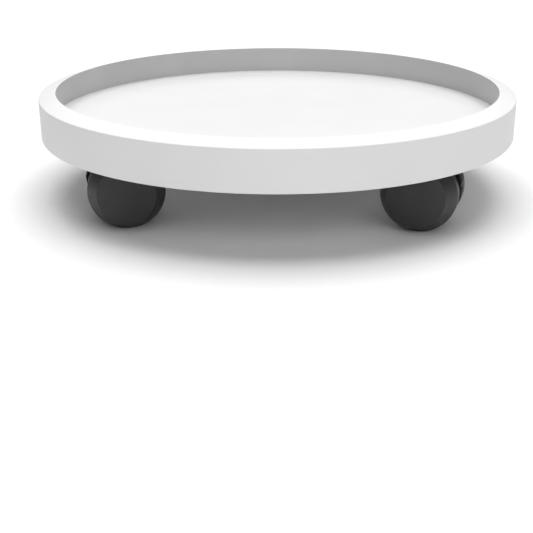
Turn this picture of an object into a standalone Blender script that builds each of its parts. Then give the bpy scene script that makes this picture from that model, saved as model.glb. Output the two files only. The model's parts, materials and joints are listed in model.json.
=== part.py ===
"""Round plant pot caddy: a moulded tray with a raised rim, on four swivelling twin-wheel casters.

Frame: metres, +Z up, origin on the floor under the centre of the tray, front towards -Y.
"""
import math

import bmesh
import bpy
from mathutils import Matrix, Vector

# Tray
TRAY_RADIUS = 0.1665
OVERALL_HEIGHT = 0.0755
TRAY_HEIGHT = 0.0301
RIM_WIDTH = 0.0118
RIM_DROP = 0.0034
RIM_LAND = 0.0008
RIM_EDGE = 0.0006
RECESS_DEPTH = 0.0198
RECESS_UNDERCUT = 0.0036
DECK_MARGIN = 0.0006
DECK_FALL = 0.0003
DECK_THICKNESS = 0.0025
SKIRT_THICKNESS = 0.0028
RIB_THICKNESS = 0.0020
RIB_DEPTH = 0.0070
RIB_SPACING = 0.0440
SOCKET_LENGTH = 0.0120
SOCKET_RADIUS = 0.0054
SOCKET_BORE = 0.0040
SOCKET_ROOF = 0.0006

# Caster layout: swivel axes on a circle, wheels trailing outwards at rest
CASTER_CIRCLE = 0.1121
TRAIL = 0.0180
CASTERS = {
    "front_left": (225.0, 190.0),
    "front_right": (315.0, -17.0),
    "rear_right": (45.0, 28.0),
    "rear_left": (135.0, 151.0),
}

# Wheels
WHEEL_RADIUS = 0.0250
WHEEL_FACE_RADIUS = 0.0189
WHEEL_INNER_SIDE = 0.0070
WHEEL_SHOULDER = 0.0142
WHEEL_FACE = 0.0240
WHEEL_WALL = 0.0022
WHEEL_EDGE = 0.0006
HUB_RADIUS = 0.0050
HUB_FLOOR = 0.0200

# Axle, stem and grip ring
AXLE_RADIUS = 0.0025
AXLE_HALF_LENGTH = 0.0196
AXLE_GROOVE_AT = 0.0160
AXLE_GROOVE_WIDTH = 0.0012
AXLE_GROOVE_DEPTH = 0.0004
STEM_RADIUS = 0.0030
STEM_COLLAR_RADIUS = 0.0052
STEM_COLLAR = 0.0012
STEM_HEAD_RADIUS = 0.0042
STEM_HEAD = 0.0012
STEM_GROOVE_RADIUS = 0.0024
STEM_GROOVE = 0.0024
STEM_NOSE = 0.0020
GRIP_RING_INNER = 0.0027
GRIP_RING_OUTER = 0.0037
GRIP_RING_HEIGHT = 0.0018
GRIP_RING_ARC = 320.0

# Caster body
HOOD_RADIUS = 0.0268
HOOD_TIP_RADIUS = 0.0248
HOOD_THICKNESS = 0.0028
HOOD_HALF_WIDTH = 0.0058
HOOD_START = 6.0
HOOD_FULL = 18.0
WING_INNER = 0.0257
WING_OUTER = 0.0272
WING_HALF_WIDTH = 0.0136
WING_START = 32.0
WING_END = 113.0
WEB_HALF_THICKNESS = 0.0015
STEM_BOSS_RADIUS = 0.0052
STEM_BOSS_BOTTOM = 0.0205
STEM_SIDE_CLEARANCE = 0.0064
AXLE_BOSS_RADIUS = 0.0060
AXLE_BOSS_HALF_WIDTH = 0.0066

# Gaps: between pieces that touch, and round a pin in its bore
GAP = 0.0003

# Facets round each kind of round piece
TRAY_SEGMENTS = 96
WHEEL_SEGMENTS = 32
PIN_SEGMENTS = 16
BOSS_SEGMENTS = 20
ARC_STEP = 10.0

DECK_TOP = OVERALL_HEIGHT - RECESS_DEPTH
DECK_UNDERSIDE = DECK_TOP - DECK_THICKNESS
SKIRT_BOTTOM = OVERALL_HEIGHT - TRAY_HEIGHT
MOUTH_RADIUS = TRAY_RADIUS - RIM_WIDTH
SOCKET_MOUTH = DECK_UNDERSIDE - SOCKET_LENGTH
COLLAR_TOP = SOCKET_MOUTH - GAP
STEM_BOSS_TOP = COLLAR_TOP - STEM_COLLAR - GAP
AXLE_HEIGHT = WHEEL_RADIUS


def clear_scene():
    """Remove every object, so that the script can be run again."""
    for old in list(bpy.data.objects):
        bpy.data.objects.remove(old, do_unlink=True)


def plastic_or_metal(name, color, roughness, metallic=0.0):
    """Make a Principled material."""
    material = bpy.data.materials.new(name)
    material.use_nodes = True
    shader = material.node_tree.nodes["Principled BSDF"]
    shader.inputs["Base Color"].default_value = (*color, 1.0)
    shader.inputs["Roughness"].default_value = roughness
    shader.inputs["Metallic"].default_value = metallic
    return material


def arc(center, radius, start, end, step=ARC_STEP):
    """Points (u, v) on an arc from start to end, in degrees, ends included."""
    count = max(1, round(abs(end - start) / step))
    angles = [math.radians(start + (end - start) * i / count) for i in range(count + 1)]
    return [(center[0] + radius * math.cos(a), center[1] + radius * math.sin(a)) for a in angles]


def make_mesh(name, build):
    """Run build(bm) on a new bmesh and return the finished mesh, its faces pointing out."""
    bm = bmesh.new()
    build(bm)
    bmesh.ops.recalc_face_normals(bm, faces=bm.faces)
    mesh = bpy.data.meshes.new(name)
    bm.to_mesh(mesh)
    bm.free()
    return mesh


def turned(name, outline, segments, phase=0.0):
    """Turn a closed outline of (radius, height) points about Z; radius 0 is a point on the axis."""
    def build(bm):
        rings = []
        for radius, height in outline:
            count = segments if radius > 0.0 else 1
            turns = [phase + math.tau * i / segments for i in range(count)]
            rings.append([bm.verts.new((radius * math.cos(a), radius * math.sin(a), height)) for a in turns])
        for ring, following in zip(rings, rings[1:] + rings[:1]):
            if len(ring) == 1 and len(following) == 1:
                continue
            for i in range(segments):
                corners = [ring[i % len(ring)], ring[(i + 1) % len(ring)]]
                corners += [following[(i + 1) % len(following)], following[i % len(following)]]
                bm.faces.new(list(dict.fromkeys(corners)))
    return make_mesh(name, build)


def plate(name, outline, half_thickness):
    """Extrude an outline of (x, z) points to both sides of the plane y = 0."""
    def build(bm):
        near = [bm.verts.new((x, -half_thickness, z)) for x, z in outline]
        far = [bm.verts.new((x, half_thickness, z)) for x, z in outline]
        bm.faces.new(near)
        bm.faces.new(far)
        for i in range(len(outline)):
            j = (i + 1) % len(outline)
            bm.faces.new([near[i], near[j], far[j], far[i]])
    return make_mesh(name, build)


def box(name, low, high):
    """A block between two corners."""
    def build(bm):
        bmesh.ops.create_cube(bm, size=1.0)
        low_corner, high_corner = Vector(low), Vector(high)
        scale = Matrix.Diagonal((*(high_corner - low_corner), 1.0))
        bm.transform(Matrix.Translation((low_corner + high_corner) / 2.0) @ scale)
    return make_mesh(name, build)


def rod(name, radius, low, high, segments=BOSS_SEGMENTS):
    """A plain cylinder about Z, from one height to another."""
    return turned(name, [(0.0, low), (radius, low), (radius, high), (0.0, high)], segments)


def moved(mesh, matrix):
    """Move a mesh's points and return it."""
    mesh.transform(matrix)
    return mesh


def combined(name, base, tools):
    """Join and cut meshes: tools is a list of (operation, mesh). Return the result as one mesh."""
    target = bpy.data.objects.new(name, base)
    bpy.context.scene.collection.objects.link(target)
    helpers = []
    for operation, mesh in tools:
        helper = bpy.data.objects.new(mesh.name, mesh)
        helper.hide_render = True
        helper.display_type = "WIRE"
        bpy.context.scene.collection.objects.link(helper)
        modifier = target.modifiers.new(mesh.name, "BOOLEAN")
        modifier.operation = operation
        modifier.solver = "EXACT"
        modifier.object = helper
        helpers.append(helper)
    bpy.context.view_layer.update()
    evaluated = target.evaluated_get(bpy.context.evaluated_depsgraph_get())
    mesh = bpy.data.meshes.new_from_object(evaluated)
    mesh.name = name
    for helper in [target] + helpers:
        bpy.data.objects.remove(helper, do_unlink=True)
    return mesh


def place(name, mesh, material, location=(0.0, 0.0, 0.0), turn=0.0, parent=None):
    """Make the object of one piece, shaded smooth with sharp edges kept."""
    mesh.shade_smooth()
    mesh.set_sharp_from_angle(angle=math.radians(28.0))
    mesh.materials.clear()
    mesh.materials.append(material)
    piece = bpy.data.objects.new(name, mesh)
    piece.location = location
    piece.rotation_euler = (0.0, 0.0, math.radians(turn))
    piece.parent = parent
    bpy.context.scene.collection.objects.link(piece)
    return piece


def swivel_point(bearing):
    """Where a caster's swivel axis meets the floor."""
    angle = math.radians(bearing)
    return Vector((CASTER_CIRCLE * math.cos(angle), CASTER_CIRCLE * math.sin(angle), 0.0))


def tray_mesh():
    """Deck, undercut recess wall, sloping rim and skirt as one turned shell, with ribs and sockets.

    The deck falls slightly under the wall, so its flat part is no wider than the mouth above it.
    """
    top = OVERALL_HEIGHT
    floor_radius = MOUTH_RADIUS + RECESS_UNDERCUT
    skirt_inner = TRAY_RADIUS - SKIRT_THICKNESS
    edge_height = top - RIM_DROP + RIM_EDGE * RIM_DROP / RIM_WIDTH
    outline = [(0.0, DECK_TOP), (MOUTH_RADIUS - DECK_MARGIN, DECK_TOP), (floor_radius, DECK_TOP - DECK_FALL)]
    outline += [(MOUTH_RADIUS, top), (MOUTH_RADIUS + RIM_LAND, top)]
    outline += [(TRAY_RADIUS - RIM_EDGE, edge_height), (TRAY_RADIUS, top - RIM_DROP - RIM_EDGE)]
    outline += [(TRAY_RADIUS, SKIRT_BOTTOM), (skirt_inner, SKIRT_BOTTOM)]
    outline += [(skirt_inner, DECK_UNDERSIDE), (0.0, DECK_UNDERSIDE)]
    shell = turned("tray", outline, TRAY_SEGMENTS)

    rib_low = DECK_UNDERSIDE - RIB_DEPTH
    rib_high = DECK_TOP - DECK_THICKNESS / 2.0
    tools = []
    for turn in (0.0, 90.0):
        for side in (-1.0, 1.0):
            middle = side * RIB_SPACING / 2.0
            reach = math.sqrt((TRAY_RADIUS - SKIRT_THICKNESS / 2.0) ** 2 - middle ** 2)
            rib = box("rib", (-reach, middle - RIB_THICKNESS / 2.0, rib_low),
                      (reach, middle + RIB_THICKNESS / 2.0, rib_high))
            tools.append(("UNION", moved(rib, Matrix.Rotation(math.radians(turn), 4, "Z"))))
    for bearing, _ in CASTERS.values():
        socket = rod("socket", SOCKET_RADIUS, SOCKET_MOUTH, rib_high)
        tools.append(("UNION", moved(socket, Matrix.Translation(swivel_point(bearing)))))
    for bearing, _ in CASTERS.values():
        bore = rod("bore", SOCKET_BORE, SOCKET_MOUTH - SOCKET_LENGTH, DECK_UNDERSIDE - SOCKET_ROOF)
        tools.append(("DIFFERENCE", moved(bore, Matrix.Translation(swivel_point(bearing)))))
    return combined("tray", shell, tools)


def stem_mesh():
    """Pin with a grip groove near its top, a collar under the socket and a riveted head below."""
    tip = DECK_UNDERSIDE - SOCKET_ROOF - GAP
    groove_top = tip - STEM_NOSE
    groove_bottom = groove_top - STEM_GROOVE
    head_top = STEM_BOSS_BOTTOM - GAP
    outline = [(0.0, tip), (STEM_GROOVE_RADIUS, tip), (STEM_RADIUS, tip - STEM_NOSE / 2.0)]
    outline += [(STEM_RADIUS, groove_top), (STEM_GROOVE_RADIUS, groove_top)]
    outline += [(STEM_GROOVE_RADIUS, groove_bottom), (STEM_RADIUS, groove_bottom)]
    outline += [(STEM_RADIUS, COLLAR_TOP), (STEM_COLLAR_RADIUS, COLLAR_TOP)]
    outline += [(STEM_COLLAR_RADIUS, COLLAR_TOP - STEM_COLLAR), (STEM_RADIUS, COLLAR_TOP - STEM_COLLAR)]
    outline += [(STEM_RADIUS, head_top), (STEM_HEAD_RADIUS, head_top)]
    outline += [(STEM_HEAD_RADIUS, head_top - STEM_HEAD), (0.0, head_top - STEM_HEAD)]
    return turned("stem", outline, PIN_SEGMENTS)


def grip_ring_mesh():
    """Split ring round the stem's groove."""
    tip = DECK_UNDERSIDE - SOCKET_ROOF - GAP
    middle = tip - STEM_NOSE - STEM_GROOVE / 2.0
    half_gap = (360.0 - GRIP_RING_ARC) / 2.0
    outer = arc((0.0, 0.0), GRIP_RING_OUTER, half_gap, 360.0 - half_gap, 20.0)
    inner = arc((0.0, 0.0), GRIP_RING_INNER, 360.0 - half_gap, half_gap, 20.0)
    flat = plate("grip_ring", outer + inner, GRIP_RING_HEIGHT / 2.0)
    upright = Matrix.Rotation(math.radians(-90.0), 4, "X")
    return moved(flat, Matrix.Translation((0.0, 0.0, middle)) @ upright)


def axle_mesh():
    """Pin along Y with a snap groove near each end."""
    groove = AXLE_RADIUS - AXLE_GROOVE_DEPTH
    half = [(AXLE_RADIUS, AXLE_GROOVE_AT), (groove, AXLE_GROOVE_AT)]
    half += [(groove, AXLE_GROOVE_AT + AXLE_GROOVE_WIDTH), (AXLE_RADIUS, AXLE_GROOVE_AT + AXLE_GROOVE_WIDTH)]
    half += [(AXLE_RADIUS, AXLE_HALF_LENGTH), (0.0, AXLE_HALF_LENGTH)]
    mirrored = [(radius, -height) for radius, height in reversed(half)]
    pin = turned("axle", mirrored + half, PIN_SEGMENTS)
    return moved(pin, Matrix.Rotation(math.radians(-90.0), 4, "X"))


def wheel_mesh():
    """Dished wheel on the +Y side: flat face, conical shoulder, tread and a blind hub inside."""
    facet = 1.0 / math.cos(math.pi / WHEEL_SEGMENTS)
    radius = WHEEL_RADIUS * facet
    bore = AXLE_RADIUS + GAP
    inside = WHEEL_RADIUS - WHEEL_WALL - WHEEL_EDGE
    face_back = WHEEL_FACE - WHEEL_WALL
    outline = [(0.0, WHEEL_FACE), (WHEEL_FACE_RADIUS, WHEEL_FACE), (radius, WHEEL_SHOULDER)]
    outline += [(radius, WHEEL_INNER_SIDE + WHEEL_EDGE), (radius - WHEEL_EDGE, WHEEL_INNER_SIDE)]
    outline += [(inside, WHEEL_INNER_SIDE), (inside, WHEEL_SHOULDER - WHEEL_EDGE)]
    outline += [(WHEEL_FACE_RADIUS - WHEEL_WALL / 2.0, face_back), (HUB_RADIUS, face_back)]
    outline += [(HUB_RADIUS, WHEEL_INNER_SIDE), (bore, WHEEL_INNER_SIDE), (bore, HUB_FLOOR), (0.0, HUB_FLOOR)]
    wheel = turned("wheel", outline, WHEEL_SEGMENTS, math.pi / WHEEL_SEGMENTS)
    return moved(wheel, Matrix.Rotation(math.radians(-90.0), 4, "X"))


def caster_body_mesh():
    """Hood, web and bosses, with the swivel axis at x = 0 and the axle at x = TRAIL."""
    axle = (TRAIL, AXLE_HEIGHT)
    stem_side = math.degrees(math.acos((STEM_SIDE_CLEARANCE - TRAIL) / HOOD_RADIUS))
    web_radius = HOOD_RADIUS - HOOD_THICKNESS / 2.0
    web_end = math.degrees(math.acos((STEM_SIDE_CLEARANCE + GAP - TRAIL) / web_radius))
    web = [(0.0, STEM_BOSS_BOTTOM + GAP), (0.0, STEM_BOSS_TOP - GAP)]
    web += [(STEM_SIDE_CLEARANCE + GAP, STEM_BOSS_TOP - GAP)]
    web += arc(axle, web_radius, web_end, HOOD_START + 1.0)
    web += [(TRAIL + AXLE_BOSS_RADIUS / 2.0, AXLE_HEIGHT - AXLE_BOSS_RADIUS + GAP)]
    web += [(TRAIL - AXLE_BOSS_RADIUS / 2.0, AXLE_HEIGHT - AXLE_BOSS_RADIUS + GAP)]
    base = plate("caster_body", web, WEB_HALF_THICKNESS)

    hood = arc(axle, HOOD_RADIUS, stem_side, HOOD_FULL) + arc(axle, HOOD_TIP_RADIUS, HOOD_START, HOOD_START)[:1]
    hood += arc(axle, HOOD_RADIUS - HOOD_THICKNESS, HOOD_START, stem_side - 4.0)
    wing = arc(axle, WING_OUTER, WING_END, WING_START) + arc(axle, WING_INNER, WING_START, WING_END)
    across = Matrix.Translation((TRAIL, 0.0, AXLE_HEIGHT)) @ Matrix.Rotation(math.radians(-90.0), 4, "X")
    below = STEM_BOSS_BOTTOM - STEM_BOSS_RADIUS
    above = STEM_BOSS_TOP + STEM_BOSS_RADIUS
    tools = [
        ("UNION", plate("hood", hood, HOOD_HALF_WIDTH)),
        ("UNION", plate("wing", wing, WING_HALF_WIDTH)),
        ("UNION", rod("stem_boss", STEM_BOSS_RADIUS, STEM_BOSS_BOTTOM, STEM_BOSS_TOP)),
        ("UNION", moved(rod("axle_boss", AXLE_BOSS_RADIUS, -AXLE_BOSS_HALF_WIDTH, AXLE_BOSS_HALF_WIDTH), across)),
        ("DIFFERENCE", rod("stem_bore", STEM_RADIUS + GAP, below, above)),
        ("DIFFERENCE", moved(rod("axle_bore", AXLE_RADIUS + GAP, -TRAIL, TRAIL), across)),
    ]
    return combined("caster_body", base, tools)


def main():
    """Build the tray, then the four casters from shared meshes."""
    clear_scene()
    tray_plastic = plastic_or_metal("tray_plastic", (0.80, 0.80, 0.80), 0.45)
    wheel_plastic = plastic_or_metal("wheel_plastic", (0.012, 0.012, 0.012), 0.35)
    body_plastic = plastic_or_metal("body_plastic", (0.010, 0.010, 0.010), 0.45)
    steel = plastic_or_metal("steel", (0.56, 0.56, 0.57), 0.30, 1.0)
    spring_steel = plastic_or_metal("spring_steel", (0.30, 0.30, 0.31), 0.35, 1.0)

    place("tray", tray_mesh(), tray_plastic)
    body, wheel, axle = caster_body_mesh(), wheel_mesh(), axle_mesh()
    stem, grip_ring = stem_mesh(), grip_ring_mesh()
    for corner, (bearing, heading) in CASTERS.items():
        point = swivel_point(bearing)
        place("stem_" + corner, stem, steel, point)
        place("grip_ring_" + corner, grip_ring, spring_steel, point)
        swivel = bpy.data.objects.new("swivel_" + corner, None)
        swivel.location = point
        swivel.rotation_euler = (0.0, 0.0, math.radians(heading))
        bpy.context.scene.collection.objects.link(swivel)
        axle_center = (TRAIL, 0.0, AXLE_HEIGHT)
        place("caster_body_" + corner, body, body_plastic, parent=swivel)
        place("axle_" + corner, axle, steel, axle_center, parent=swivel)
        place("wheel_a_" + corner, wheel, wheel_plastic, axle_center, 180.0, swivel)
        place("wheel_b_" + corner, wheel, wheel_plastic, axle_center, 0.0, swivel)


main()
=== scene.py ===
"""Looks of the plant pot caddy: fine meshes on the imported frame, procedural plastics and steel, a pale
studio floor, soft light and the camera. Metres, +Z up."""
import json
import math

import bmesh
import bpy
from mathutils import Matrix, Vector


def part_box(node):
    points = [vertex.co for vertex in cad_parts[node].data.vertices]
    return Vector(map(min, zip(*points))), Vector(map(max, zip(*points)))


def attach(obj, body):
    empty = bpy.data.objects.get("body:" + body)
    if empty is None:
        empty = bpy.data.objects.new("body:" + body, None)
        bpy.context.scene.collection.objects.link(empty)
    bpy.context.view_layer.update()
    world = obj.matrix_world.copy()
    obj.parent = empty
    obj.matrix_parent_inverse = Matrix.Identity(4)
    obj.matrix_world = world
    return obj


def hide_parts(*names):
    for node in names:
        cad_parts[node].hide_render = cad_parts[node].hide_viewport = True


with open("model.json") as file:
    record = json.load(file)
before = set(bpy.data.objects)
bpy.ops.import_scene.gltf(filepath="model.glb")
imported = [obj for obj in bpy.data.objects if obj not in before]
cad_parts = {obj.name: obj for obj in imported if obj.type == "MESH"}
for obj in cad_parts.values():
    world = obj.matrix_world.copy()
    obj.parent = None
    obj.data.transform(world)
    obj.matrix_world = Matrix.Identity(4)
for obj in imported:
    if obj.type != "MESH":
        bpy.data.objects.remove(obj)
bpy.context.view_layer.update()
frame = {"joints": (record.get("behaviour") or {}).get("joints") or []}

CORNERS = ("front_left", "front_right", "rear_right", "rear_left")

# Tray, measured from its box in the frame
TRAY_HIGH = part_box("tray")[1]
TRAY_RADIUS = TRAY_HIGH[0]
TOP = TRAY_HIGH[2]
SKIRT_BOTTOM = TOP - 0.0301
DECK_TOP = TOP - 0.0198
DECK_UNDERSIDE = DECK_TOP - 0.0025
MOUTH_RADIUS = TRAY_RADIUS - 0.0118
FLOOR_RADIUS = MOUTH_RADIUS + 0.0036
DECK_MARGIN = 0.0006
DECK_FALL = 0.0003
RIM_DROP = 0.0034
RIM_LAND = 0.0008
SKIRT_THICKNESS = 0.0028
RIB_THICKNESS = 0.0020
RIB_TOP = DECK_TOP - 0.0012
RIB_BOTTOM = DECK_UNDERSIDE - 0.0070
RIB_SPACING = 0.0440
SOCKET_MOUTH = DECK_UNDERSIDE - 0.0120
SOCKET_RADIUS = 0.0054
SOCKET_BORE = 0.0040
SOCKET_ROOF = 0.0006
BORE_REACH = 0.01

# Casters
TRAIL = 0.0180
WHEEL_RADIUS = 0.0250
WHEEL_FACE_RADIUS = 0.0189
WHEEL_INNER_SIDE = 0.0070
WHEEL_SHOULDER = 0.0142
WHEEL_FACE = 0.0240
WHEEL_WALL = 0.0022
HUB_RADIUS = 0.0050
HUB_FLOOR = 0.0200
AXLE_RADIUS = 0.0025
AXLE_HALF_LENGTH = 0.0196
AXLE_GROOVE_AT = 0.0160
AXLE_GROOVE_WIDTH = 0.0012
AXLE_GROOVE_RADIUS = 0.0021
STEM_RADIUS = 0.0030
STEM_COLLAR_RADIUS = 0.0052
STEM_COLLAR = 0.0012
STEM_HEAD_RADIUS = 0.0042
STEM_HEAD = 0.0012
STEM_GROOVE_RADIUS = 0.0024
STEM_GROOVE = 0.0024
STEM_NOSE = 0.0020
GRIP_RING_INNER = 0.0027
GRIP_RING_OUTER = 0.0037
GRIP_RING_HEIGHT = 0.0018
GRIP_RING_ARC = 320.0
HOOD_RADIUS = 0.0268
HOOD_TIP_RADIUS = 0.0248
HOOD_THICKNESS = 0.0028
HOOD_HALF_WIDTH = 0.0058
HOOD_START = 6.0
HOOD_FULL = 18.0
HOOD_END_SLANT = 4.0
WING_INNER = 0.0257
WING_OUTER = 0.0272
WING_HALF_WIDTH = 0.0136
WING_START = 32.0
WING_END = 113.0
WEB_HALF_THICKNESS = 0.0015
WEB_INSET = 1.0
STEM_BOSS_RADIUS = 0.0052
STEM_BOSS_BOTTOM = 0.0205
STEM_BOSS_TOP = SOCKET_MOUTH - 0.0018
STEM_SIDE_CLEARANCE = 0.0064
AXLE_BOSS_RADIUS = 0.0060
AXLE_BOSS_HALF_WIDTH = 0.0066
GAP = 0.0003

# Radii of rounded edges and inside corners
RECESS_CORNER = 0.0004
MOUTH_EDGE = 0.0003
LAND_EDGE = 0.0010
RIM_EDGE = 0.0007
SKIRT_EDGE = 0.0006
DECK_CORNER = 0.0010
SOCKET_EDGE = 0.0004
WHEEL_FACE_EDGE = 0.0004
WHEEL_TREAD_EDGE = 0.0006
WHEEL_LIP_EDGE = 0.0003
WHEEL_CORNER = 0.0008
HUB_EDGE = 0.0004
PIN_EDGE = 0.0001
STEM_SHOULDER_EDGE = 0.0002
STEM_TIP_EDGE = 0.0003
STEM_HEAD_EDGE = 0.0006
AXLE_END_EDGE = 0.0003
BODY_BEVEL = 0.0003
GRIP_RING_BEVEL = 0.0001

# Facets, and the angles in degrees above which an edge is bevelled or shaded sharp
TRAY_SEGMENTS = 240
WHEEL_SEGMENTS = 112
PIN_SEGMENTS = 40
ARC_STEP = 3.0
GRIP_RING_STEP = 8.0
TRAY_EDGE_STEPS = 8
WHEEL_EDGE_STEPS = 4
ROD_EDGE_STEPS = 4
PIN_EDGE_STEPS = 3
BEVEL_ANGLE = 40.0
SHARP_ANGLE = 30.0

# How far a face's normal must lean inwards to count as recess wall, or up to count as deck, the faces
# painted darker as shade of the recess
FACES_INWARD = 0.6
FACES_UP = 0.9

# Noise scales in waves per metre, bump heights in metres, and the middle of a noise's range
COLOR_WAVES = 22.0
GLOSS_WAVES = 160.0
GRAIN_WAVES = 2600.0
GRAIN_HEIGHT = 0.00004
FLOW_WAVES = 70.0
FLOW_HEIGHT = 0.00035
TURNING_WAVES = 900.0
TURNING_HEIGHT = 0.00005
STAIN_WAVES = 260.0
FLOOR_WAVES = 3.0
NOISE_LOW = 0.3
NOISE_HIGH = 0.7

# Looks of steel, and the caster body's specular level
STAIN_SHADE = 0.72
TURNING_SMOOTHER = 0.07
TURNING_ROUGHER = 0.09
TURNING_BUMP = 0.25
BODY_SPECULAR = 0.2

# Camera, floor and ambient light
CAMERA_DISTANCE = 0.7130
CAMERA_ABOVE_TOP = 0.1416
CAMERA_ASIDE = 0.0004
CAMERA_PITCH = 21.53
CAMERA_TURN = 1.50
CAMERA_LENS = 67.90
CAMERA_SHIFT = -0.0218
FLOOR_SIZE = 8.0
AMBIENT = 0.21


def joint_at(name):
    """A joint's point."""
    joint = next(j for j in frame["joints"] if j["name"] == name)
    return Vector(joint["pos_m"])


# ---------------------------------------------------------------- mesh tools

def arc(center, radius, start, end, step=ARC_STEP):
    """Points (u, v) on an arc from start to end, in degrees, ends included."""
    count = max(1, math.ceil(abs(end - start) / step))
    angles = [math.radians(start + (end - start) * i / count) for i in range(count + 1)]
    return [(center[0] + radius * math.cos(a), center[1] + radius * math.sin(a)) for a in angles]


def rounded(corners, steps):
    """An outline whose corners (u, v, radius) are rounded, in steps, where the radius isn't 0."""
    outline = []
    for i, (u, v, radius) in enumerate(corners):
        here = Vector((u, v))
        if radius == 0.0:
            outline.append((u, v))
            continue
        before = (Vector(corners[i - 1][:2]) - here).normalized()
        after = (Vector(corners[(i + 1) % len(corners)][:2]) - here).normalized()
        half = before.angle(after) / 2.0
        reach = radius / math.tan(half)
        center = here + (before + after).normalized() * (radius / math.sin(half))
        first = here + before * reach - center
        last = here + after * reach - center
        turn = first.angle_signed(last)
        for k in range(steps + 1):
            offset = Matrix.Rotation(-turn * k / steps, 2) @ first
            outline.append(tuple(center + offset))
    return outline


def make_mesh(name, build):
    """Run build(bm) on a new bmesh and return the finished mesh, its faces pointing out."""
    bm = bmesh.new()
    build(bm)
    bmesh.ops.recalc_face_normals(bm, faces=bm.faces)
    mesh = bpy.data.meshes.new(name)
    bm.to_mesh(mesh)
    bm.free()
    return mesh


def turned(name, outline, segments):
    """Turn a closed outline of (radius, height) points about Z; radius 0 is a point on the axis."""
    def build(bm):
        rings = []
        for radius, height in outline:
            count = segments if radius > 0.0 else 1
            turns = [math.tau * i / segments for i in range(count)]
            places = [(radius * math.cos(a), radius * math.sin(a), height) for a in turns]
            rings.append([bm.verts.new(place) for place in places])
        for ring, following in zip(rings, rings[1:] + rings[:1]):
            if len(ring) == 1 and len(following) == 1:
                continue
            for i in range(segments):
                corners = [ring[i % len(ring)], ring[(i + 1) % len(ring)]]
                corners += [following[(i + 1) % len(following)], following[i % len(following)]]
                bm.faces.new(list(dict.fromkeys(corners)))
    return make_mesh(name, build)


def plate(name, outline, half_thickness):
    """Extrude an outline of (x, z) points to both sides of the plane y = 0."""
    def build(bm):
        near = [bm.verts.new((x, -half_thickness, z)) for x, z in outline]
        far = [bm.verts.new((x, half_thickness, z)) for x, z in outline]
        bm.faces.new(near)
        bm.faces.new(far)
        for i in range(len(outline)):
            j = (i + 1) % len(outline)
            bm.faces.new([near[i], near[j], far[j], far[i]])
    return make_mesh(name, build)


def block(name, low, high):
    """A block between two corners."""
    def build(bm):
        bmesh.ops.create_cube(bm, size=1.0)
        low_corner, high_corner = Vector(low), Vector(high)
        scale = Matrix.Diagonal((*(high_corner - low_corner), 1.0))
        bm.transform(Matrix.Translation((low_corner + high_corner) / 2.0) @ scale)
    return make_mesh(name, build)


def rod(name, radius, low, high, edge=0.0):
    """A cylinder about Z from one height to another, its edges rounded by edge."""
    corners = [(0.0, low, 0.0), (radius, low, edge), (radius, high, edge), (0.0, high, 0.0)]
    return turned(name, rounded(corners, ROD_EDGE_STEPS), PIN_SEGMENTS)


def moved(mesh, matrix):
    """Move a mesh's points and return it."""
    mesh.transform(matrix)
    return mesh


def combined(name, base, tools, bevel=0.0):
    """Join and cut meshes, then bevel the edges: tools is a list of (operation, mesh)."""
    target = bpy.data.objects.new(name, base)
    bpy.context.scene.collection.objects.link(target)
    helpers = []
    for operation, mesh in tools:
        helper = bpy.data.objects.new(mesh.name, mesh)
        bpy.context.scene.collection.objects.link(helper)
        modifier = target.modifiers.new(mesh.name, "BOOLEAN")
        modifier.operation = operation
        modifier.solver = "EXACT"
        modifier.object = helper
        helpers.append(helper)
    if bevel:
        modifier = target.modifiers.new("edges", "BEVEL")
        modifier.width = bevel
        modifier.segments = 2
        modifier.limit_method = "ANGLE"
        modifier.angle_limit = math.radians(BEVEL_ANGLE)
    bpy.context.view_layer.update()
    evaluated = target.evaluated_get(bpy.context.evaluated_depsgraph_get())
    mesh = bpy.data.meshes.new_from_object(evaluated)
    mesh.name = name
    for helper in [target] + helpers:
        bpy.data.objects.remove(helper, do_unlink=True)
    return mesh


# ---------------------------------------------------------------- materials

def new_material(name, color, roughness, metallic=0.0):
    """A Principled material and its node tree, shader and texture coordinates."""
    material = bpy.data.materials.new(name)
    material.use_nodes = True
    tree = material.node_tree
    shader = tree.nodes["Principled BSDF"]
    shader.inputs["Base Color"].default_value = (*color, 1.0)
    shader.inputs["Roughness"].default_value = roughness
    shader.inputs["Metallic"].default_value = metallic
    coordinates = tree.nodes.new("ShaderNodeTexCoord")
    return material, tree, shader, coordinates.outputs["Object"]


def noise(tree, vector, scale, detail, stretch=None):
    """A noise texture's value; scale is in waves per metre, and stretch scales each axis first."""
    if stretch:
        mapping = tree.nodes.new("ShaderNodeMapping")
        mapping.inputs["Scale"].default_value = stretch
        tree.links.new(vector, mapping.inputs["Vector"])
        vector = mapping.outputs["Vector"]
    texture = tree.nodes.new("ShaderNodeTexNoise")
    texture.inputs["Scale"].default_value = scale
    texture.inputs["Detail"].default_value = detail
    tree.links.new(vector, texture.inputs["Vector"])
    return texture.outputs["Fac"]


def remap(tree, value, low, high):
    """Map the middle of a noise's range to low..high."""
    node = tree.nodes.new("ShaderNodeMapRange")
    node.inputs["From Min"].default_value = NOISE_LOW
    node.inputs["From Max"].default_value = NOISE_HIGH
    node.inputs["To Min"].default_value = low
    node.inputs["To Max"].default_value = high
    tree.links.new(value, node.inputs["Value"])
    return node.outputs["Result"]


def tint(tree, value, dark, light):
    """A colour between two, by a value from 0 to 1."""
    node = tree.nodes.new("ShaderNodeMix")
    node.data_type = "RGBA"
    node.inputs["A"].default_value = (*dark, 1.0)
    node.inputs["B"].default_value = (*light, 1.0)
    tree.links.new(value, node.inputs["Factor"])
    return node.outputs["Result"]


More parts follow.
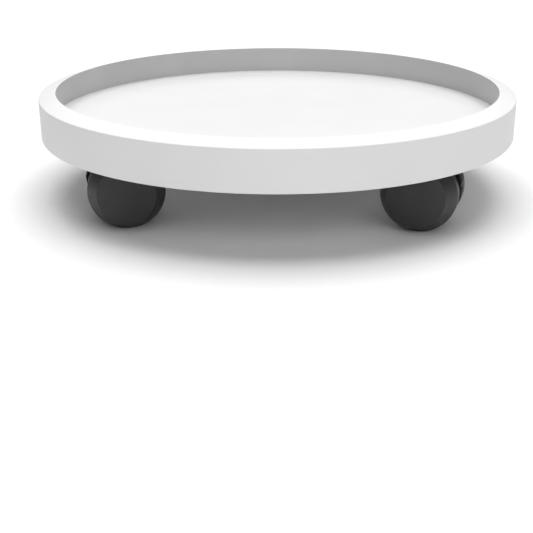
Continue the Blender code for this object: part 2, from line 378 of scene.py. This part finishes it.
def bump(tree, shader, layers):
    """Chain bumps from (height value, strength, distance) layers into the shader's normal."""
    normal = None
    for height, strength, distance in layers:
        node = tree.nodes.new("ShaderNodeBump")
        node.inputs["Strength"].default_value = strength
        node.inputs["Distance"].default_value = distance
        tree.links.new(height, node.inputs["Height"])
        if normal:
            tree.links.new(normal, node.inputs["Normal"])
        normal = node.outputs["Normal"]
    tree.links.new(normal, shader.inputs["Normal"])


def moulded_plastic(name, dark, light, smooth, rough, grain, flow):
    """Moulded plastic: a fine surface grain, slow flow waves and slight changes of colour and gloss.

    dark and light are the limits of its grey, smooth and rough those of its roughness; grain and flow are
    the strengths of the two bumps.
    """
    dark_color, light_color = (dark, dark, dark), (light, light, light)
    material, tree, shader, vector = new_material(name, light_color, smooth)
    slow = noise(tree, vector, COLOR_WAVES, detail=3.0)
    tinted = tint(tree, remap(tree, slow, 0.0, 1.0), dark_color, light_color)
    tree.links.new(tinted, shader.inputs["Base Color"])
    patches = noise(tree, vector, GLOSS_WAVES, detail=4.0)
    tree.links.new(remap(tree, patches, smooth, rough), shader.inputs["Roughness"])
    fine = noise(tree, vector, GRAIN_WAVES, detail=2.0)
    waves = noise(tree, vector, FLOW_WAVES, detail=1.0)
    bump(tree, shader, [(fine, grain, GRAIN_HEIGHT), (waves, flow, FLOW_HEIGHT)])
    return material


def turned_steel(name, color, roughness):
    """Steel with fine turning lines round its length and small stains."""
    material, tree, shader, vector = new_material(name, color, roughness, 1.0)
    lines = noise(tree, vector, TURNING_WAVES, detail=3.0, stretch=(0.05, 0.05, 3.0))
    stains = noise(tree, vector, STAIN_WAVES, detail=5.0)
    darker = tuple(STAIN_SHADE * c for c in color)
    stained = tint(tree, remap(tree, stains, 0.0, 1.0), darker, color)
    tree.links.new(stained, shader.inputs["Base Color"])
    uneven = remap(tree, lines, roughness - TURNING_SMOOTHER, roughness + TURNING_ROUGHER)
    tree.links.new(uneven, shader.inputs["Roughness"])
    bump(tree, shader, [(lines, TURNING_BUMP, TURNING_HEIGHT)])
    return material


def floor_material():
    """Plain pale studio floor."""
    material, tree, shader, vector = new_material("studio_floor", (0.90, 0.90, 0.90), 0.85)
    cloud = noise(tree, vector, FLOOR_WAVES, detail=2.0)
    clouded = tint(tree, cloud, (0.895, 0.895, 0.895), (0.905, 0.905, 0.905))
    tree.links.new(clouded, shader.inputs["Base Color"])
    shader.inputs["Specular IOR Level"].default_value = 0.0
    return material


# ---------------------------------------------------------------- pieces

def finished(name, mesh, material, body, stands_for, matrix=None):
    """Make a piece from a mesh, put it on its body and let it stand for its CAD node."""
    mesh = mesh.copy()
    mesh.materials.clear()
    mesh.materials.append(material)
    mesh.shade_smooth()
    mesh.set_sharp_from_angle(angle=math.radians(SHARP_ANGLE))
    piece = bpy.data.objects.new(name, mesh)
    bpy.context.scene.collection.objects.link(piece)
    if matrix:
        piece.matrix_world = matrix
    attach(piece, body)
    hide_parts(stands_for)
    return piece


def tray_mesh():
    """Deck, undercut recess wall, sloping rim and skirt in one shell, with ribs and sockets below."""
    corners = [
        (0.0, DECK_TOP, 0.0),
        (MOUTH_RADIUS - DECK_MARGIN, DECK_TOP, 0.0),
        (FLOOR_RADIUS, DECK_TOP - DECK_FALL, RECESS_CORNER),
        (MOUTH_RADIUS, TOP, MOUTH_EDGE),
        (MOUTH_RADIUS + RIM_LAND, TOP, LAND_EDGE),
        (TRAY_RADIUS, TOP - RIM_DROP, RIM_EDGE),
        (TRAY_RADIUS, SKIRT_BOTTOM, SKIRT_EDGE),
        (TRAY_RADIUS - SKIRT_THICKNESS, SKIRT_BOTTOM, SKIRT_EDGE),
        (TRAY_RADIUS - SKIRT_THICKNESS, DECK_UNDERSIDE, DECK_CORNER),
        (0.0, DECK_UNDERSIDE, 0.0),
    ]
    shell = turned("tray", rounded(corners, TRAY_EDGE_STEPS), TRAY_SEGMENTS)
    tools = []
    for turn in (0.0, 90.0):
        for side in (-1.0, 1.0):
            middle = side * RIB_SPACING / 2.0
            reach = math.sqrt((TRAY_RADIUS - SKIRT_THICKNESS / 2.0) ** 2 - middle ** 2)
            rib = block("rib", (-reach, middle - RIB_THICKNESS / 2.0, RIB_BOTTOM),
                        (reach, middle + RIB_THICKNESS / 2.0, RIB_TOP))
            tools.append(("UNION", moved(rib, Matrix.Rotation(math.radians(turn), 4, "Z"))))
    for corner in CORNERS:
        point = joint_at("swivel_" + corner).xy.to_3d()
        socket = rod("socket", SOCKET_RADIUS, SOCKET_MOUTH, RIB_TOP, SOCKET_EDGE)
        tools.append(("UNION", moved(socket, Matrix.Translation(point))))
    for corner in CORNERS:
        point = joint_at("swivel_" + corner).xy.to_3d()
        bore = rod("bore", SOCKET_BORE, SOCKET_MOUTH - BORE_REACH, DECK_UNDERSIDE - SOCKET_ROOF)
        tools.append(("DIFFERENCE", moved(bore, Matrix.Translation(point))))
    return combined("tray", shell, tools)


def wheel_mesh():
    """Wheel on the +Y side: flat face, conical shoulder, tread and a blind hub inside."""
    bore = AXLE_RADIUS + GAP
    inside = WHEEL_RADIUS - WHEEL_WALL
    face_back = WHEEL_FACE - WHEEL_WALL
    corners = [
        (0.0, WHEEL_FACE, 0.0),
        (WHEEL_FACE_RADIUS, WHEEL_FACE, WHEEL_FACE_EDGE),
        (WHEEL_RADIUS, WHEEL_SHOULDER, WHEEL_TREAD_EDGE),
        (WHEEL_RADIUS, WHEEL_INNER_SIDE, WHEEL_TREAD_EDGE),
        (inside, WHEEL_INNER_SIDE, WHEEL_LIP_EDGE),
        (inside, WHEEL_SHOULDER, WHEEL_CORNER),
        (WHEEL_FACE_RADIUS - WHEEL_WALL / 2.0, face_back, WHEEL_CORNER),
        (HUB_RADIUS, face_back, WHEEL_CORNER),
        (HUB_RADIUS, WHEEL_INNER_SIDE, HUB_EDGE),
        (bore, WHEEL_INNER_SIDE, WHEEL_LIP_EDGE),
        (bore, HUB_FLOOR, 0.0),
        (0.0, HUB_FLOOR, 0.0),
    ]
    wheel = turned("wheel", rounded(corners, WHEEL_EDGE_STEPS), WHEEL_SEGMENTS)
    return moved(wheel, Matrix.Rotation(math.radians(-90.0), 4, "X"))


def caster_body_mesh():
    """Hood, web and bosses, with the swivel axis at x = 0 and the axle at x = TRAIL."""
    axle = (TRAIL, WHEEL_RADIUS)
    stem_side = math.degrees(math.acos((STEM_SIDE_CLEARANCE - TRAIL) / HOOD_RADIUS))
    web_radius = HOOD_RADIUS - HOOD_THICKNESS / 2.0
    web_end = math.degrees(math.acos((STEM_SIDE_CLEARANCE + GAP - TRAIL) / web_radius))
    web = [(0.0, STEM_BOSS_BOTTOM + GAP), (0.0, STEM_BOSS_TOP - GAP)]
    web += [(STEM_SIDE_CLEARANCE + GAP, STEM_BOSS_TOP - GAP)]
    web += arc(axle, web_radius, web_end, HOOD_START + WEB_INSET)
    web += [(TRAIL + AXLE_BOSS_RADIUS / 2.0, WHEEL_RADIUS - AXLE_BOSS_RADIUS + GAP)]
    web += [(TRAIL - AXLE_BOSS_RADIUS / 2.0, WHEEL_RADIUS - AXLE_BOSS_RADIUS + GAP)]
    base = plate("caster_body", web, WEB_HALF_THICKNESS)

    hood = arc(axle, HOOD_RADIUS, stem_side, HOOD_FULL)
    hood += arc(axle, HOOD_TIP_RADIUS, HOOD_START, HOOD_START)[:1]
    hood += arc(axle, HOOD_RADIUS - HOOD_THICKNESS, HOOD_START, stem_side - HOOD_END_SLANT)
    wing = arc(axle, WING_OUTER, WING_END, WING_START) + arc(axle, WING_INNER, WING_START, WING_END)
    across = Matrix.Translation((TRAIL, 0.0, WHEEL_RADIUS)) @ Matrix.Rotation(math.radians(-90.0), 4, "X")
    below = STEM_BOSS_BOTTOM - STEM_BOSS_RADIUS
    above = STEM_BOSS_TOP + STEM_BOSS_RADIUS
    axle_boss = rod("axle_boss", AXLE_BOSS_RADIUS, -AXLE_BOSS_HALF_WIDTH, AXLE_BOSS_HALF_WIDTH)
    tools = [
        ("UNION", plate("hood", hood, HOOD_HALF_WIDTH)),
        ("UNION", plate("wing", wing, WING_HALF_WIDTH)),
        ("UNION", rod("stem_boss", STEM_BOSS_RADIUS, STEM_BOSS_BOTTOM, STEM_BOSS_TOP)),
        ("UNION", moved(axle_boss, across)),
        ("DIFFERENCE", rod("stem_bore", STEM_RADIUS + GAP, below, above)),
        ("DIFFERENCE", moved(rod("axle_bore", AXLE_RADIUS + GAP, -TRAIL, TRAIL), across)),
    ]
    return combined("caster_body", base, tools, BODY_BEVEL)


def stem_mesh():
    """Pin with a grip groove near its top, a collar under the socket and a riveted head below."""
    tip = DECK_UNDERSIDE - SOCKET_ROOF - GAP
    groove_top = tip - STEM_NOSE
    groove_bottom = groove_top - STEM_GROOVE
    collar_top = SOCKET_MOUTH - GAP
    head_top = STEM_BOSS_BOTTOM - GAP
    corners = [
        (0.0, tip, 0.0),
        (STEM_GROOVE_RADIUS, tip, STEM_TIP_EDGE),
        (STEM_RADIUS, tip - STEM_NOSE / 2.0, STEM_SHOULDER_EDGE),
        (STEM_RADIUS, groove_top, PIN_EDGE),
        (STEM_GROOVE_RADIUS, groove_top, PIN_EDGE),
        (STEM_GROOVE_RADIUS, groove_bottom, PIN_EDGE),
        (STEM_RADIUS, groove_bottom, PIN_EDGE),
        (STEM_RADIUS, collar_top, 0.0),
        (STEM_COLLAR_RADIUS, collar_top, STEM_SHOULDER_EDGE),
        (STEM_COLLAR_RADIUS, collar_top - STEM_COLLAR, STEM_SHOULDER_EDGE),
        (STEM_RADIUS, collar_top - STEM_COLLAR, 0.0),
        (STEM_RADIUS, head_top, 0.0),
        (STEM_HEAD_RADIUS, head_top, PIN_EDGE),
        (STEM_HEAD_RADIUS, head_top - STEM_HEAD, STEM_HEAD_EDGE),
        (0.0, head_top - STEM_HEAD, 0.0),
    ]
    return turned("stem", rounded(corners, PIN_EDGE_STEPS), PIN_SEGMENTS)


def axle_mesh():
    """Pin along Y with a snap groove and a rounded edge near each end."""
    half = [
        (AXLE_RADIUS, AXLE_GROOVE_AT, PIN_EDGE),
        (AXLE_GROOVE_RADIUS, AXLE_GROOVE_AT, PIN_EDGE),
        (AXLE_GROOVE_RADIUS, AXLE_GROOVE_AT + AXLE_GROOVE_WIDTH, PIN_EDGE),
        (AXLE_RADIUS, AXLE_GROOVE_AT + AXLE_GROOVE_WIDTH, PIN_EDGE),
        (AXLE_RADIUS, AXLE_HALF_LENGTH, AXLE_END_EDGE),
        (0.0, AXLE_HALF_LENGTH, 0.0),
    ]
    mirrored = [(radius, -height, edge) for radius, height, edge in reversed(half)]
    pin = turned("axle", rounded(mirrored + half, PIN_EDGE_STEPS), PIN_SEGMENTS)
    return moved(pin, Matrix.Rotation(math.radians(-90.0), 4, "X"))


def grip_ring_mesh():
    """Split ring round the stem's groove."""
    middle = DECK_UNDERSIDE - SOCKET_ROOF - GAP - STEM_NOSE - STEM_GROOVE / 2.0
    half_gap = (360.0 - GRIP_RING_ARC) / 2.0
    outer = arc((0.0, 0.0), GRIP_RING_OUTER, half_gap, 360.0 - half_gap, GRIP_RING_STEP)
    inner = arc((0.0, 0.0), GRIP_RING_INNER, 360.0 - half_gap, half_gap, GRIP_RING_STEP)
    flat = plate("grip_ring", outer + inner, GRIP_RING_HEIGHT / 2.0)
    upright = Matrix.Rotation(math.radians(-90.0), 4, "X")
    ring = moved(flat, Matrix.Translation((0.0, 0.0, middle)) @ upright)
    return combined("grip_ring", ring, [], GRIP_RING_BEVEL)


def paint_recess(mesh, wall, deck):
    """Give the undercut wall and the top of the deck their own darker materials: painted shade of the
    recess, on the same white plastic as the rim.
    """
    mesh.materials.append(wall)
    mesh.materials.append(deck)
    wall_slot, deck_slot = 1, 2
    for face in mesh.polygons:
        radius = face.center.xy.length
        inward = face.normal.xy.dot(face.center.xy) < -FACES_INWARD * radius
        if inward and DECK_TOP < face.center.z < TOP and radius < FLOOR_RADIUS:
            face.material_index = wall_slot
        level = face.normal.z > FACES_UP
        if level and radius < FLOOR_RADIUS and abs(face.center.z - DECK_TOP) < DECK_FALL:
            face.material_index = deck_slot


def build_object():
    """Make every visible piece from the joints' places."""
    white = moulded_plastic("white_moulding", dark=0.775, light=0.80, smooth=0.42, rough=0.50,
                            grain=0.10, flow=0.05)
    # The deck is the same white plastic as the rim, painted a little darker: painted shade of the recess.
    deck_painted_shade_white = moulded_plastic("deck_moulding_painted_shade", dark=0.70, light=0.72, smooth=0.46, rough=0.56,
                                 grain=0.14, flow=0.05)
    # The recess wall is the same white plastic as the rim, painted grey: painted shade of the recess.
    painted_shade_wall_white = moulded_plastic("recess_wall_painted_shade", dark=0.50, light=0.53, smooth=0.46, rough=0.54,
                                   grain=0.10, flow=0.05)
    wheel_plastic = moulded_plastic("wheel_moulding", dark=0.026, light=0.030, smooth=0.46, rough=0.56,
                                    grain=0.04, flow=0.03)
    # Black plastic made near black, far darker than the wheels and with a low specular level: partly its
    # own black, partly painted shade under the tray.
    body_plastic_and_painted_shade = moulded_plastic("body_black_painted_shade", dark=0.002, light=0.003, smooth=0.55, rough=0.70,
                                   grain=0.12, flow=0.05)
    body_shader = body_plastic_and_painted_shade.node_tree.nodes["Principled BSDF"]
    body_shader.inputs["Specular IOR Level"].default_value = BODY_SPECULAR
    steel = turned_steel("plated_steel", (0.56, 0.56, 0.57), 0.28)
    spring = turned_steel("spring_steel", (0.26, 0.26, 0.27), 0.34)

    tray = finished("tray_moulding", tray_mesh(), white, "root", "tray")
    paint_recess(tray.data, painted_shade_wall_white, deck_painted_shade_white)
    body, wheel = caster_body_mesh(), wheel_mesh()
    stem, grip_ring, axle_pin = stem_mesh(), grip_ring_mesh(), axle_mesh()
    for corner in CORNERS:
        swivel = joint_at("swivel_" + corner)
        axle = joint_at("wheel_a_%s_spin" % corner)
        heading = math.atan2(axle.y - swivel.y, axle.x - swivel.x)
        turn = Matrix.Rotation(heading, 4, "Z")
        at_swivel = Matrix.Translation(swivel.xy.to_3d()) @ turn
        at_axle = Matrix.Translation(axle) @ turn
        finished("body_black_painted_shade_" + corner, body, body_plastic_and_painted_shade, "swivel_" + corner,
                 "caster_body_" + corner, at_swivel)
        for side, flip in (("wheel_a_", math.pi), ("wheel_b_", 0.0)):
            finished(side + "moulding_" + corner, wheel, wheel_plastic, side + corner,
                     side + corner, at_axle @ Matrix.Rotation(flip, 4, "Z"))
        at_socket = Matrix.Translation(swivel.xy.to_3d())
        finished("turned_stem_" + corner, stem, steel, "root", "stem_" + corner, at_socket)
        finished("bent_grip_ring_" + corner, grip_ring, spring, "root",
                 "grip_ring_" + corner, at_socket)
        finished("turned_axle_" + corner, axle_pin, steel, "swivel_" + corner,
                 "axle_" + corner, at_axle)


# ---------------------------------------------------------------- studio

def area_light(name, at, target, width, depth, watts):
    """A rectangular area light that faces its target."""
    data = bpy.data.lights.new(name, "AREA")
    data.shape = "RECTANGLE"
    data.size = width
    data.size_y = depth
    data.energy = watts
    light = bpy.data.objects.new(name, data)
    light.location = at
    light.rotation_euler = (Vector(target) - Vector(at)).to_track_quat("-Z", "Y").to_euler()
    bpy.context.scene.collection.objects.link(light)


def floor_mesh():
    """A square in the plane z = 0."""
    def build(bm):
        half = FLOOR_SIZE / 2.0
        places = ((-half, -half), (half, -half), (half, half), (-half, half))
        bm.faces.new([bm.verts.new((x, y, 0.0)) for x, y in places])
    return make_mesh("floor", build)


def build_studio():
    """Floor, ambient light, softboxes and the camera."""
    floor = bpy.data.objects.new("floor", floor_mesh())
    floor.data.materials.append(floor_material())
    bpy.context.scene.collection.objects.link(floor)

    world = bpy.data.worlds.new("studio")
    world.use_nodes = True
    background = world.node_tree.nodes["Background"]
    background.inputs["Color"].default_value = (1.0, 1.0, 1.0, 1.0)
    background.inputs["Strength"].default_value = AMBIENT
    bpy.context.scene.world = world

    area_light("overhead", at=(0.0, -0.05, 1.6), target=(0.0, 0.0, 0.0), width=1.5, depth=1.5, watts=26.5)
    area_light("far_floor", at=(0.0, 2.2, 1.5), target=(0.0, 2.0, 0.0), width=3.6, depth=1.8, watts=34.0)
    area_light("front", at=(0.55, -1.8, 1.2), target=(0.0, 0.0, 0.06), width=1.2, depth=0.8, watts=9.5)

    data = bpy.data.cameras.new("camera")
    data.lens = CAMERA_LENS
    data.sensor_width = 36.0
    data.shift_x = CAMERA_SHIFT
    data.clip_start = 0.01
    camera = bpy.data.objects.new("camera", data)
    turn = Matrix.Rotation(math.radians(CAMERA_TURN), 4, "Z")
    camera.location = turn @ Vector((CAMERA_ASIDE, -CAMERA_DISTANCE, TOP + CAMERA_ABOVE_TOP))
    camera.rotation_euler = (math.radians(90.0 - CAMERA_PITCH), 0.0, math.radians(CAMERA_TURN))
    bpy.context.scene.collection.objects.link(camera)
    bpy.context.scene.camera = camera
    bpy.context.scene.view_settings.view_transform = "Standard"


build_object()
build_studio()
